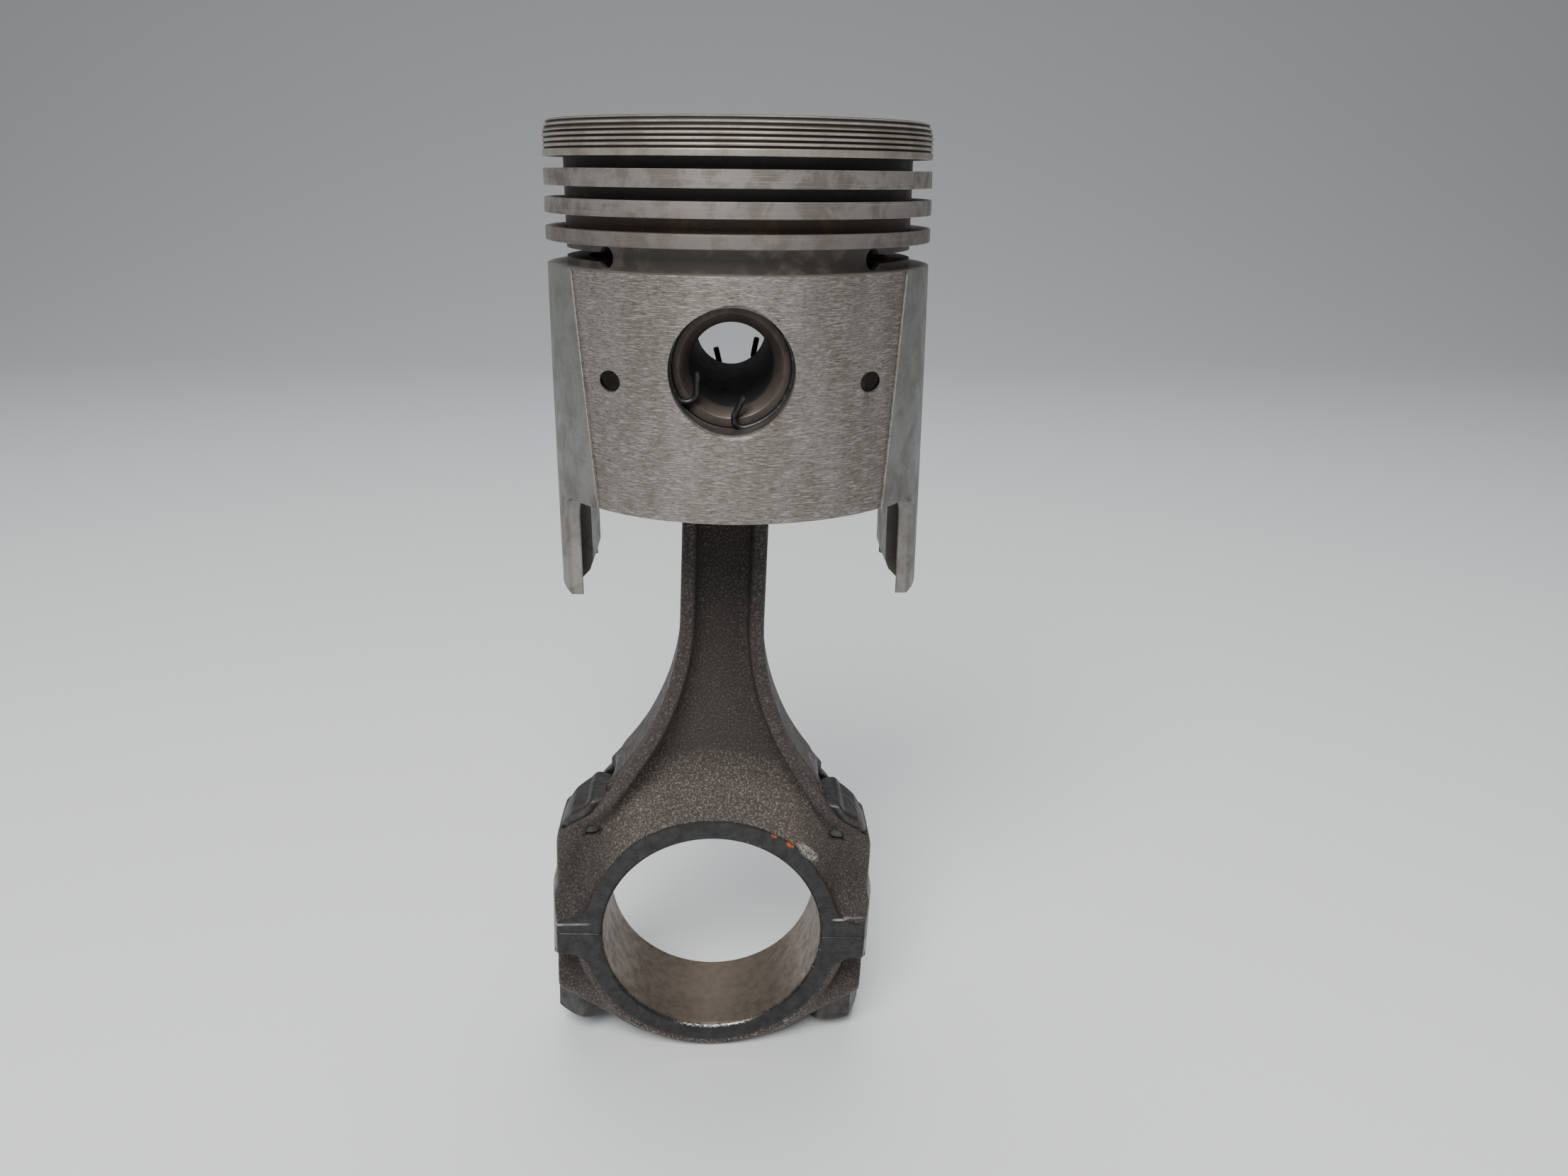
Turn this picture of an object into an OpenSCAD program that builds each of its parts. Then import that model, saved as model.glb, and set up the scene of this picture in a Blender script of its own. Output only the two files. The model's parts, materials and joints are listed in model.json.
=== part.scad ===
// Piston on its connecting rod, standing on the big-end cap.
// Origin at the centre of the big-end bore, +Y along the bore axis, +Z up.

/* [Piston] */
// Skirt diameter across the thrust faces
skirt_d = 87; // [86.8:0.1:87.4]
// Crown top to the foot of the skirt on the pin sides
skirt_len = 80.2; // [79:0.2:82]
// Crown top to the foot of the thrust tangs
tang_len = 104.9; // [103:0.1:106]
// Tang width along the pin axis
tang_w = 32.6; // [30:0.2:35]
// Radius where a tang meets the foot of the skirt
tang_fillet = 5.5; // [4:0.5:7]
// Crown top to the wrist pin centre
comp_h = 48.7; // [48:0.1:50]
// Sideways offset of the wrist pin from the piston axis
pin_offset = 1.87; // [0:0.01:2.5]
// Crown thickness
crown_t = 9; // [7:0.5:10]
// Skirt wall thickness
skirt_wall = 3.1; // [2.8:0.1:3.5]
// Depth of the relief on the pin sides of the skirt
relief_depth = 0.5; // [0.3:0.05:0.8]
// Half width of the relief at the top of the skirt
relief_top = 35.3; // [34:0.1:36]
// Half width of the relief at the foot of the skirt
relief_foot = 31; // [30:0.1:33]

/* [Ring grooves] */
// Height of the land above the first groove
land1_h = 7.79; // [7:0.01:9]
// Width of the first groove
groove1_h = 2; // [1.8:0.1:2.2]
// Height of the second land
land2_h = 3.56; // [3:0.01:4]
// Width of the second groove
groove2_h = 2.4; // [2:0.1:2.6]
// Height of the third land
land3_h = 3.22; // [3:0.01:3.6]
// Width of the third groove
groove3_h = 2.87; // [2.4:0.01:3]
// Height of the fourth land
land4_h = 2.82; // [2.6:0.01:3]
// Width of the oil groove
oil_h = 5.03; // [4.8:0.01:5.2]
// Radius at the foot of every groove
groove_root_r = 38.8; // [38.4:0.1:39.2]
// Number of fine V cuts in the first land
vcut_count = 6; // [3:1:6]
// Spacing of the V cuts
vcut_pitch = 1.055; // [0.95:0.005:1.1]
// Width of one V cut
vcut_w = 0.45; // [0.3:0.05:0.5]
// Depth of one V cut
vcut_d = 0.35; // [0.2:0.05:0.4]
// Height of the slots in the oil groove
slot_h = 1.9; // [1.5:0.1:2.2]
// Half angle of a slot about a thrust face
slot_half_angle = 44.4; // [40:0.1:46]
// Diameter of the drilling at each end of a slot
slot_end_d = 4.5; // [4:0.1:4.6]
// Diameter of the small drillings beside the pin
side_hole_d = 4.5; // [3.5:0.1:5]
// Sideways distance of the small drillings from the piston axis
side_hole_x = 27.3; // [26.5:0.1:28]
// Crown top to the small drillings
side_hole_z = 51.8; // [51:0.1:53]

/* [Wrist pin and circlips] */
// Wrist pin diameter
pin_d = 26; // [25.8:0.1:26.2]
// Wrist pin length
pin_len = 66; // [65:0.1:66]
// Bore through the wrist pin
pin_bore_d = 17.7; // [16:0.1:19]
// Mouth of the cone at each end of the pin
pin_mouth_d = 20.7; // [20:0.1:22]
// Radial clearance of the pin in the piston and in the bush
pin_clearance = 0.02; // [0.01:0.005:0.03]
// Circlip wire diameter
wire_d = 1.5; // [1.3:0.1:1.6]
// Distance of a circlip from the middle of the piston along the pin
circlip_y = 34.05; // [34.05:0.05:34.3]
// Where a circlip ring ends, on the side where its wire rises
circlip_end_a = 208; // [200:1:215]
// Where a circlip ring ends, on the side of its lower hook
circlip_end_b = 280; // [272:1:288]
// Turn of the rear circlip against the front one
circlip_turn = 40; // [0:1:360]
// Length of a circlip hook
hook_len = 6.3; // [5:0.1:7]

/* [Connecting rod] */
// Distance between the two eyes of the rod
rod_len = 153.6; // [153:0.1:155]
// Lean of the rod from upright, the piston staying upright
rod_lean = 2.2; // [-8:0.1:8]
// Bore of the big end
big_bore_d = 57.8; // [57:0.1:58.5]
// Width of the big end
big_w = 28.6; // [28:0.1:29]
// Radius of the thrust ring on each side of the big end
ring_r = 33.8; // [33.4:0.1:34.4]
// Chamfer at the rim of the big-end bore
big_chamfer = 0.8; // [0.4:0.1:1]
// Outside radius of the small eye
eye_r = 18.5; // [18:0.1:19.5]
// Width of the small eye
eye_w = 28; // [26:0.1:28.4]
// Wall of the small-end bush
bush_wall = 1.5; // [1:0.1:2]
// Beam width at its narrowest
beam_w = 21; // [20:0.2:22]
// Beam depth along the bore axis
beam_depth = 14.4; // [13:0.2:15]
// Flange thickness of the beam
flange_t = 3.6; // [3:0.1:4]
// Web thickness of the beam
web_t = 5; // [4:0.5:6]
// Radius of the sweep from the beam into the shoulders
sweep_r = 67; // [66:0.5:68]
// Depth of the shoulders along the bore axis
boss_depth = 22.4; // [22:0.2:24]
// Turned radius round the rod axis at the joint
turned_r = 43.2; // [43:0.1:43.4]
// Height of the flat joint pads above the joint
pad_up = 4.5; // [4:0.1:5]
// Height of the flat joint pads below the joint
pad_down = 6.2; // [5:0.1:7]

/* [Cap and bolts] */
// Outside radius of the cap
cap_r = 36.8; // [36.6:0.1:37.4]
// Bore centre to the foot of the cap
cap_foot = 36.5; // [36:0.1:36.6]
// Bore centre to a bolt
bolt_x = 33.4; // [33.2:0.1:33.6]
// Bolt diameter
bolt_d = 8; // [7:0.2:8.2]
// Bolt head diameter
head_d = 17.2; // [16:0.2:17.4]
// Joint to the seat of a bolt head
head_seat = 24; // [23:0.1:25]
// Joint to the seat of a nut
nut_seat = 22.5; // [22:0.1:23]
// Nut height
nut_h = 9.2; // [8:0.1:10]
// Nut width across flats
nut_af = 16; // [15:0.1:16]
// Turn of the left nut
nut_turn_left = 23; // [0:1:59]
// Turn of the right nut
nut_turn_right = 10; // [0:1:59]

/* [Hidden] */
$fn = 96;

tiny = 0.01;
skirt_r = skirt_d / 2;
land_r = skirt_r - 0.35;
inner_r = skirt_r - skirt_wall;
boss_r = 19;
boss_face = 14.8;
pin_r = pin_d / 2;
fit_r = pin_r + pin_clearance;
wire_r = wire_d / 2;
groove_w = wire_d + 0.1;
big_r = big_bore_d / 2;
bush_r = pin_r + bush_wall;
half_beam = beam_w / 2;
sweep_x = sweep_r + half_beam;
sweep_z = 87;
shoulder_x = turned_r - 1;
shoulder_r = 18.6;
shoulder_z = 20;
cone_wide = 47;
cone_narrow = 35;
spot_r = nut_af / 2 / cos(30) + 0.36;
head_pocket_r = head_d / 2 + 0.6;

pin_x = rod_len * sin(rod_lean);
pin_z = rod_len * cos(rod_lean);
axis_x = pin_x + pin_offset;
crown_z = pin_z + comp_h;

// Depths below the crown of the edges of the lands and grooves
g1_top = land1_h;
g1_foot = g1_top + groove1_h;
g2_top = g1_foot + land2_h;
g2_foot = g2_top + groove2_h;
g3_top = g2_foot + land3_h;
g3_foot = g3_top + groove3_h;
g4_top = g3_foot + land4_h;
skirt_top = g4_top + oil_h;
slot_z = skirt_top - slot_h / 2 - 1.49;

aluminium = [0.60, 0.58, 0.55];
forged = [0.33, 0.30, 0.28];
pin_steel = [0.40, 0.38, 0.36];
wire_steel = [0.25, 0.25, 0.26];
bronze = [0.66, 0.50, 0.30];
bolt_steel = [0.30, 0.29, 0.28];

// A flat outline in X and Z, made thick along Y and centred on it
module along_y(depth) {
  rotate([90, 0, 0])
    linear_extrude(height = depth, center = true)
      children();
}

// A round bar along Y, centred
module bar_y(r, length) {
  rotate([90, 0, 0])
    cylinder(r = r, h = length, center = true);
}

module both_sides() {
  children();
  mirror([0, 1, 0])
    children();
}

module left_and_right() {
  children();
  mirror([1, 0, 0])
    children();
}

// ---------------------------------------------------------------- piston

// The outside of the piston as turned: lands, grooves, V cuts and a slightly barrelled skirt
function vcut(i) = let (z = -0.73 - i * vcut_pitch)
  [[land_r, z + vcut_w / 2], [land_r - vcut_d, z], [land_r, z - vcut_w / 2]];

turned_outline = concat(
  [[0, 0], [land_r - 0.8, 0], [land_r, -0.4]],
  [for (i = [0 : vcut_count - 1]) for (p = vcut(i)) p],
  [[land_r, -g1_top], [groove_root_r, -g1_top], [groove_root_r, -g1_foot], [land_r + 0.05, -g1_foot]],
  [[land_r + 0.05, -g2_top], [groove_root_r, -g2_top], [groove_root_r, -g2_foot]],
  [[land_r + 0.16, -g2_foot], [land_r + 0.16, -g3_top], [groove_root_r, -g3_top]],
  [[groove_root_r, -g3_foot], [land_r + 0.2, -g3_foot], [land_r + 0.2, -g4_top]],
  [[groove_root_r, -g4_top], [groove_root_r, -skirt_top], [skirt_r - 0.23, -skirt_top]],
  [[skirt_r - 0.06, -52], [skirt_r, -84], [skirt_r - 0.02, -tang_len + 0.8]],
  [[skirt_r - 0.6, -tang_len], [0, -tang_len]]);

module turned_blank() {
  rotate_extrude($fn = 180)
    polygon(turned_outline);
}

module hollow() {
  rotate_extrude($fn = 180)
    polygon([[0, -crown_t], [31, -crown_t], [34, -crown_t - 3], [34, -skirt_top - 3],
             [inner_r - 0.2, -skirt_top - 8], [inner_r, -tang_len - 1], [0, -tang_len - 1]]);
}

module pin_bosses() {
  for (side = [-1, 1])
    translate([-pin_offset, side * (boss_face + 14), -comp_h])
      bar_y(boss_r, 28);
}

module crown_ribs() {
  rib_top = crown_t - 1;
  for (side = [-1, 1])
    for (rib = [-1, 1])
      translate([-pin_offset + rib * 14 - 3, side > 0 ? boss_face : -boss_face - 22, -comp_h])
        cube([6, 22, comp_h - rib_top]);
}

// Thickening down the middle of each tang
module tang_pad() {
  along_y(18)
    polygon([[40.9, -56], [35.3, -62], [35.3, -98.6], [36.1, -101.2], [38, -103.2], [41.2, -103.2]]);
}

// Everything outside the tangs and below the foot of the skirt, on one pin side
module side_cut() {
  inner_y = tang_w / 2;
  far = 50;
  translate([0, 0, -skirt_len])
    rotate([90, 0, 90])
      linear_extrude(height = 100, center = true)
        union() {
          translate([inner_y + tang_fillet, -far])
            square([far, far]);
          translate([inner_y, -far])
            square([far, far - tang_fillet]);
          translate([inner_y + tang_fillet, -tang_fillet])
            circle(r = tang_fillet);
        }
}

// The ground relief on both pin sides of the skirt
module pin_side_relief() {
  intersection() {
    translate([0, 0, -skirt_len - 1])
      difference() {
        cylinder(r = skirt_r + 3, h = skirt_len - skirt_top + 1, $fn = 180);
        translate([0, 0, -1])
          cylinder(r = skirt_r - relief_depth, h = skirt_len, $fn = 180);
      }
    along_y(100)
      polygon([[-relief_top, -skirt_top + 1], [relief_top, -skirt_top + 1],
               [relief_foot, -skirt_len - 1], [-relief_foot, -skirt_len - 1]]);
  }
}

module oil_slots() {
  reach = 60;
  wide = reach * tan(slot_half_angle);
  left_and_right()
    intersection() {
      translate([0, 0, -slot_z - slot_h / 2])
        difference() {
          cylinder(r = groove_root_r + 1, h = slot_h);
          translate([0, 0, -1])
            cylinder(r = 33, h = slot_h + 2);
        }
      translate([0, 0, -slot_z - slot_h])
        linear_extrude(height = 2 * slot_h)
          polygon([[0, 0], [reach, -wide], [reach, wide]]);
    }
  for (a = [slot_half_angle, 180 - slot_half_angle, 180 + slot_half_angle, -slot_half_angle])
    rotate([0, 0, a])
      translate([32, 0, -slot_z])
        rotate([0, 90, 0])
          cylinder(d = slot_end_d, h = 12, $fn = 32);
}

module side_holes() {
  for (side = [-1, 1])
    translate([side * side_hole_x, 0, -side_hole_z])
      bar_y(side_hole_d / 2, 100);
}

module pin_bore() {
  translate([-pin_offset, 0, -comp_h]) {
    bar_y(fit_r, 100);
    both_sides() {
      translate([0, -circlip_y, 0])
        bar_y(fit_r + wire_r + 0.05, groove_w);
      translate([0, -skirt_r - 1, 0])
        rotate([-90, 0, 0])
          cylinder(r1 = fit_r + 2.1, r2 = fit_r, h = 2.1);
    }
  }
}

module piston() {
  color(aluminium)
    translate([axis_x, 0, crown_z])
      difference() {
        union() {
          difference() {
            turned_blank();
            hollow();
          }
          intersection() {
            translate([0, 0, -tang_len])
              cylinder(r = 40.6, h = tang_len - 0.5, $fn = 180);
            union() {
              intersection() {
                pin_bosses();
                cube([80, 80, 200], center = true);
              }
              left_and_right()
                tang_pad();
            }
          }
          intersection() {
            translate([0, 0, -tang_len])
              cylinder(r = 37, h = tang_len - 0.5, $fn = 180);
            crown_ribs();
          }
        }
        both_sides()
          side_cut();
        pin_side_relief();
        oil_slots();
        side_holes();
        pin_bore();
      }
}

// ---------------------------------------------------------------- wrist pin and circlips

module wrist_pin() {
  mouth_depth = 3;
  edge = 0.6;
  end = pin_len / 2;
  color(pin_steel)
    translate([pin_x, 0, pin_z])
      rotate([90, 0, 0])
        rotate_extrude()
          polygon([[pin_bore_d / 2, -end + mouth_depth], [pin_mouth_d / 2, -end], [pin_r - edge, -end],
                   [pin_r, -end + edge], [pin_r, end - edge], [pin_r - edge, end],
                   [pin_mouth_d / 2, end], [pin_bore_d / 2, end - mouth_depth]]);
}

module hook(angle, lean) {
  ring_r = fit_r;
  translate([ring_r * cos(angle), ring_r * sin(angle), 0]) {
    sphere(r = wire_r + 0.03, $fn = 32);
    rotate([0, 0, angle + 180 + lean])
      rotate([0, 90, 0])
        cylinder(r = wire_r - 0.02, h = hook_len, $fn = 32);
  }
}

// A wire ring in X and Z whose two ends turn inwards as hooks
module circlip() {
  sweep = 360 - (circlip_end_b - circlip_end_a);
  rotate([90, 0, 0]) {
    rotate([0, 0, circlip_end_b])
      rotate_extrude(angle = sweep, $fn = 180)
        translate([fit_r, 0])
          circle(r = wire_r, $fn = 32);
    hook(circlip_end_a, 20);
    hook(circlip_end_b, -16);
  }
}

module circlip_front() {
  color(wire_steel)
    translate([pin_x, -circlip_y, pin_z])
      circlip();
}

module circlip_rear() {
  color(wire_steel)
    translate([pin_x, circlip_y, pin_z])
      rotate([0, -circlip_turn, 0])
        circlip();
}

// ---------------------------------------------------------------- connecting rod

module in_rod_frame() {
  rotate([0, rod_lean, 0])
    children();
}

// Side view of the rod: the beam, its sweep into the shoulders, and the joint faces
module rod_outline() {
  sweep_end = 48;
  corner_x = shoulder_x - shoulder_r;
  left_and_right()
    union() {
      difference() {
        polygon([[0, 0], [0, rod_len], [half_beam, rod_len], [half_beam, sweep_z],
                 [sweep_x - sweep_r * cos(sweep_end), sweep_z - sweep_r * sin(sweep_end)],
                 [corner_x + shoulder_r * cos(sweep_end), shoulder_z + shoulder_r * sin(sweep_end)],
                 [shoulder_x, shoulder_z], [shoulder_x, 12.5], [turned_r + 0.2, 9.5], [turned_r + 0.2, 0]]);
        translate([sweep_x, sweep_z])
          circle(r = sweep_r, $fn = 180);
      }
      translate([corner_x, shoulder_z])
        circle(r = shoulder_r);
    }
}

// Depth of the rod along its length
module rod_depth() {
  half = beam_depth / 2;
  boss = boss_depth / 2;
  rotate([90, 0, 90])
    linear_extrude(height = 100, center = true)
      polygon([[-boss, 0], [-boss, 36], [-boss + 1, 46], [-half - 1, 62], [-half, 80], [-half, 128],
               [-eye_w / 2, 140], [-eye_w / 2, rod_len], [eye_w / 2, rod_len], [eye_w / 2, 140],
               [half, 128], [half, 80], [half + 1, 62], [boss - 1, 46], [boss, 36], [boss, 0]]);
}

// Window between the flanges, down to the end of the groove beside the big end
module beam_window() {
  inner = half_beam - flange_t;
  left_and_right()
    difference() {
      polygon([[-tiny, 24], [-tiny, 132], [inner - 1, 132], [inner, 126], [inner, sweep_z],
               [20, 52.5], [15.9, 52.5], [30.5, 28.5], [27, 24]]);
      translate([sweep_x, sweep_z])
        circle(r = sweep_r + flange_t, $fn = 180);
    }
}

// Round cone of the web rising to the thrust ring
module ring_cone() {
  both_sides()
    translate([0, -web_t / 2, 0])
      rotate([90, 0, 0])
        cylinder(r1 = cone_wide, r2 = cone_narrow, h = big_w / 2 - web_t / 2 - 0.6);
}

// Volume inside the turned surfaces round the rod axis
module turned_limit() {
  rotate_extrude($fn = 180)
    polygon([[0, -40], [shoulder_x, -40], [shoulder_x, -12.3], [turned_r, -11], [turned_r, 9.3],
             [shoulder_x, 12.5], [shoulder_x, 180], [0, 180]]);
}

module big_end_bore() {
  bar_y(big_r, 60);
  both_sides()
    translate([0, -big_w / 2 - tiny, 0])
      rotate([-90, 0, 0])
        cylinder(r1 = big_r + big_chamfer, r2 = big_r, h = big_chamfer);
}

module above_joint() {
  translate([-60, -60, 0])
    cube([120, 120, 240]);
}

module below_joint() {
  translate([-60, -60, -60])
    cube([120, 120, 60]);
}

module bolt_holes(d) {
  for (side = [-1, 1])
    translate([side * bolt_x, 0, -50])
      cylinder(d = d, h = 140);
}

// Flat pads round the joint, level with the thrust ring
module joint_pads() {
  left_and_right()
    union() {
      along_y(big_w)
        polygon([[20, -pad_down], [20, pad_up], [turned_r + 0.2, pad_up], [turned_r + 0.2, -pad_down]]);
      along_y(big_w)
        polygon([[26, pad_up + 6], [28.4, pad_up + 6], [30.6, pad_up + 2.8], [35, pad_up], [35, -pad_down],
                 [31.5, -pad_down - 3.8], [29, -pad_down - 8], [26, -pad_down - 8]]);
    }
}

module connecting_rod() {
  color(forged)
    in_rod_frame()
      difference() {
        union() {
          intersection() {
            turned_limit();
            above_joint();
            union() {
              difference() {
                intersection() {
                  along_y(80)
                    rod_outline();
                  rod_depth();
                }
                both_sides()
                  translate([0, -web_t / 2 - 20, 0])
                    along_y(40)
                      beam_window();
              }
              intersection() {
                ring_cone();
                along_y(80)
                  rod_outline();
              }
              bar_y(ring_r, big_w);
              joint_pads();
            }
          }
          translate([0, 0, rod_len])
            bar_y(eye_r, eye_w);
        }
        big_end_bore();
        translate([0, 0, rod_len])
          bar_y(bush_r, 60);
        bolt_holes(bolt_d + 0.2);
        for (side = [-1, 1])
          translate([side * bolt_x, 0, head_seat])
            cylinder(r = head_pocket_r, h = 60);
      }
}

module small_end_bush() {
  color(bronze)
    in_rod_frame()
      translate([0, 0, rod_len])
        difference() {
          bar_y(bush_r - 0.005, eye_w);
          bar_y(fit_r, 60);
        }
}

// ---------------------------------------------------------------- cap, bolts and nuts

module cap_boss() {
  left_and_right()
    along_y(boss_depth)
      polygon([[0, 0], [turned_r + 0.2, 0], [turned_r + 0.2, -11], [shoulder_x + 0.2, -12.3],
               [shoulder_x + 0.2, -20.5], [40.8, -23.2], [36, -24.2], [30.5, -26.4], [24, -30.5],
               [18, -32.6], [0, -32.6]]);
}

module rod_cap() {
  color(forged)
    in_rod_frame()
      difference() {
        intersection() {
          turned_limit();
          below_joint();
          union() {
            cap_boss();
            bar_y(cap_r, boss_depth + 1.6);
            both_sides()
              translate([0, -boss_depth / 2 - 0.8, 0])
                rotate([90, 0, 0])
                  cylinder(r1 = cap_r, r2 = cone_narrow, h = big_w / 2 - boss_depth / 2 - 1.4);
            bar_y(ring_r + 0.8, big_w);
            joint_pads();
          }
          translate([-60, -60, -cap_foot])
            cube([120, 120, 60]);
        }
        big_end_bore();
        bolt_holes(bolt_d + 0.2);
        for (side = [-1, 1])
          translate([side * bolt_x, 0, -nut_seat - 30])
            cylinder(r = spot_r, h = 30);
      }
}

module rod_bolts() {
  end = nut_seat + nut_h + 2.2;
  color(bolt_steel)
    in_rod_frame()
      for (side = [-1, 1])
        union() {
          translate([side * bolt_x, 0, -end + 1])
            cylinder(d = bolt_d, h = end - 1 + head_seat + 2);
          translate([side * bolt_x, 0, -end])
            cylinder(d1 = bolt_d - 2, d2 = bolt_d, h = 1);
          intersection() {
            translate([side * bolt_x, 0, head_seat])
              cylinder(d = head_d, h = 40);
            translate([0, 0, -0.7])
              along_y(40)
                rod_outline();
            turned_limit();
          }
        }
}

module nut(turn) {
  corner = nut_af / 2 / cos(30);
  difference() {
    intersection() {
      rotate([0, 0, turn])
        cylinder(r = corner, h = nut_h, $fn = 6);
      rotate_extrude()
        polygon([[0, 0], [nut_af / 2 - 0.2, 0], [corner + 0.1, 0.75], [corner + 0.1, nut_h - 0.75],
                 [nut_af / 2 - 0.2, nut_h], [0, nut_h]]);
    }
    translate([0, 0, -1])
      cylinder(r = bolt_d / 2 + 0.02, h = nut_h + 2);
  }
}

module rod_nuts() {
  color(bolt_steel)
    in_rod_frame() {
      translate([-bolt_x, 0, -nut_seat - nut_h])
        nut(nut_turn_left);
      translate([bolt_x, 0, -nut_seat - nut_h])
        nut(nut_turn_right);
    }
}

piston();
wrist_pin();
circlip_front();
circlip_rear();
connecting_rod();
small_end_bush();
rod_cap();
rod_bolts();
rod_nuts();
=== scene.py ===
import bmesh
import bpy
import json
import math
import numpy as np
import openvdb as vdb
from mathutils import Matrix, Vector


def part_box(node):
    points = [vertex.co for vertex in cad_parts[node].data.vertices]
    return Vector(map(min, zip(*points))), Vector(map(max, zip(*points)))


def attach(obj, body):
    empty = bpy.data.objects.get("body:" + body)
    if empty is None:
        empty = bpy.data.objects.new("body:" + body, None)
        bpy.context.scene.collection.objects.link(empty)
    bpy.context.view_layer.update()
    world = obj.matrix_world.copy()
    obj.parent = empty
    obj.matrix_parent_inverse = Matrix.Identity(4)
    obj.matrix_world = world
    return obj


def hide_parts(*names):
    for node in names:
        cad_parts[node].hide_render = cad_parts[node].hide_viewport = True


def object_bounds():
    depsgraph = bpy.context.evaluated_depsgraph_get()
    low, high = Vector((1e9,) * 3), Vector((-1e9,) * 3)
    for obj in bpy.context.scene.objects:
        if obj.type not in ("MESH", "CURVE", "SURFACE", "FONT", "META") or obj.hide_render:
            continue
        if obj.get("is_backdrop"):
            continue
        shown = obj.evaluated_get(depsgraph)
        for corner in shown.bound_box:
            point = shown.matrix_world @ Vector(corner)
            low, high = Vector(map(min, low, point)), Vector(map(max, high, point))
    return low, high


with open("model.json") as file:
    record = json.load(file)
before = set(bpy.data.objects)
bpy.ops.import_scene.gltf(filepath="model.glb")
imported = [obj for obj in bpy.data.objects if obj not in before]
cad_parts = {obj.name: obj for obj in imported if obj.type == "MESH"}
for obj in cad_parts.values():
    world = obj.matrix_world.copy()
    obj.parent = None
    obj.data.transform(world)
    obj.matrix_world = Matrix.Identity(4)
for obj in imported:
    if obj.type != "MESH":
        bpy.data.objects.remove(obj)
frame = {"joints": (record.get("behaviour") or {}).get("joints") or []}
cad_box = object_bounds()

# ------------------------------------------------------------------ places and sizes, in mm
MM = 0.001
joints = {j["name"]: j for j in frame["joints"]}
PIN = Vector(joints["piston_swing"]["pos_m"]) / MM
piston_lo, piston_hi = (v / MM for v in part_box("piston"))
AXIS_X = (piston_lo.x + piston_hi.x) / 2
CROWN = piston_hi.z
ROD_LEN = PIN.length
LEAN = math.atan2(PIN.x, PIN.z)
PIN_OFFSET = AXIS_X - PIN.x
PIN_DEPTH = CROWN - PIN.z
SKIRT_R = (piston_hi.x - piston_lo.x) / 2
TANG_LEN = CROWN - piston_lo.z
BIG_HALF_W = (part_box("connecting_rod")[1].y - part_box("connecting_rod")[0].y) / 2 / MM

# Rod and cap: z is measured from the joint along the rod, x across it and y along the bores
BIG_R = 28.9  # big-end bore
BIG_CHAMFER = 0.8
RING_R = 33.8  # thrust ring round the big-end bore
TURNED_R = 43.2  # the big end is turned to this radius about the rod's own axis
SHOULDER_X = TURNED_R - 1
BOSS_HALF = 11.2  # half depth of the big end, without its thrust rings
BEAM_HALF = 7.2  # half depth of the beam's flanges
WEB_HALF = 2.5
EYE_R, EYE_HALF = 18.5, 14.0
BUSH_R = 14.5
CAP_R = 36.8
CAP_FOOT = 36.5

# Bolts and nuts
BOLT_X = 33.4  # from the rod's axis to a bolt
BOLT_HOLE_R = 4.1
SHANK_R = 3.98
HEAD_SEAT, HEAD_TOP = 27.0, 36.5
HEAD_R = 8.6
HEAD_FLAT = 26.8  # x of the flat on the inner side of a head
NUT_SEAT = 22.5  # depth of the nut's seat below the joint
NUT_H, NUT_AF = 9.2, 16.0

ROD_FRAME = Matrix.Rotation(LEAN, 4, "Y")
PISTON_FRAME = Matrix.Translation((AXIS_X, 0, CROWN))
PIN_FRAME = Matrix.Translation(PIN)


# ------------------------------------------------------------------ meshes from fields
def smin(a, b, k):
    """The smaller of a and b, blended over a width of about k."""
    h = np.clip(0.5 + 0.5 * (b - a) / k, 0, 1)
    return b + (a - b) * h - k * h * (1 - h)


def smax(a, b, k):
    return -smin(-a, -b, k)


def ease(t):
    t = np.clip(t, 0, 1)
    return t * t * (3 - 2 * t)


def arc(cx, cz, r, a0, a1, n=24):
    """Points on an arc from angle a0 to a1, in degrees."""
    return [(cx + r * math.cos(math.radians(a0 + (a1 - a0) * i / n)),
             cz + r * math.sin(math.radians(a0 + (a1 - a0) * i / n))) for i in range(n + 1)]


class Outline:
    """Signed distance to a closed outline in |x| and z, sampled on a grid and looked up."""

    STEP = 0.25

    def __init__(self, points, lo, hi):
        self.lo = lo
        xs = np.arange(lo[0], hi[0], self.STEP)
        zs = np.arange(lo[1], hi[1], self.STEP)
        x, z = np.meshgrid(xs, zs, indexing="ij")
        best = np.full(x.shape, 1e9)
        inside = np.zeros(x.shape, bool)
        for (ax, az), (bx, bz) in zip(points, points[1:] + points[:1]):
            ex, ez = bx - ax, bz - az
            t = np.clip(((x - ax) * ex + (z - az) * ez) / (ex * ex + ez * ez + 1e-12), 0, 1)
            best = np.minimum(best, np.hypot(x - ax - t * ex, z - az - t * ez))
            if ez:
                crossing = (az > z) != (bz > z)
                inside ^= crossing & (x < ax + (z - az) * ex / ez)
        self.values = np.where(inside, -best, best)

    def __call__(self, x, z):
        u = np.clip((x - self.lo[0]) / self.STEP, 0, self.values.shape[0] - 1.001)
        v = np.clip((z - self.lo[1]) / self.STEP, 0, self.values.shape[1] - 1.001)
        u, v = np.broadcast_arrays(u, v)
        i, j = u.astype(int), v.astype(int)
        f, g = u - i, v - j
        d = self.values
        return ((d[i, j] * (1 - f) + d[i + 1, j] * f) * (1 - g)
                + (d[i, j + 1] * (1 - f) + d[i + 1, j + 1] * f) * g)


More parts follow.
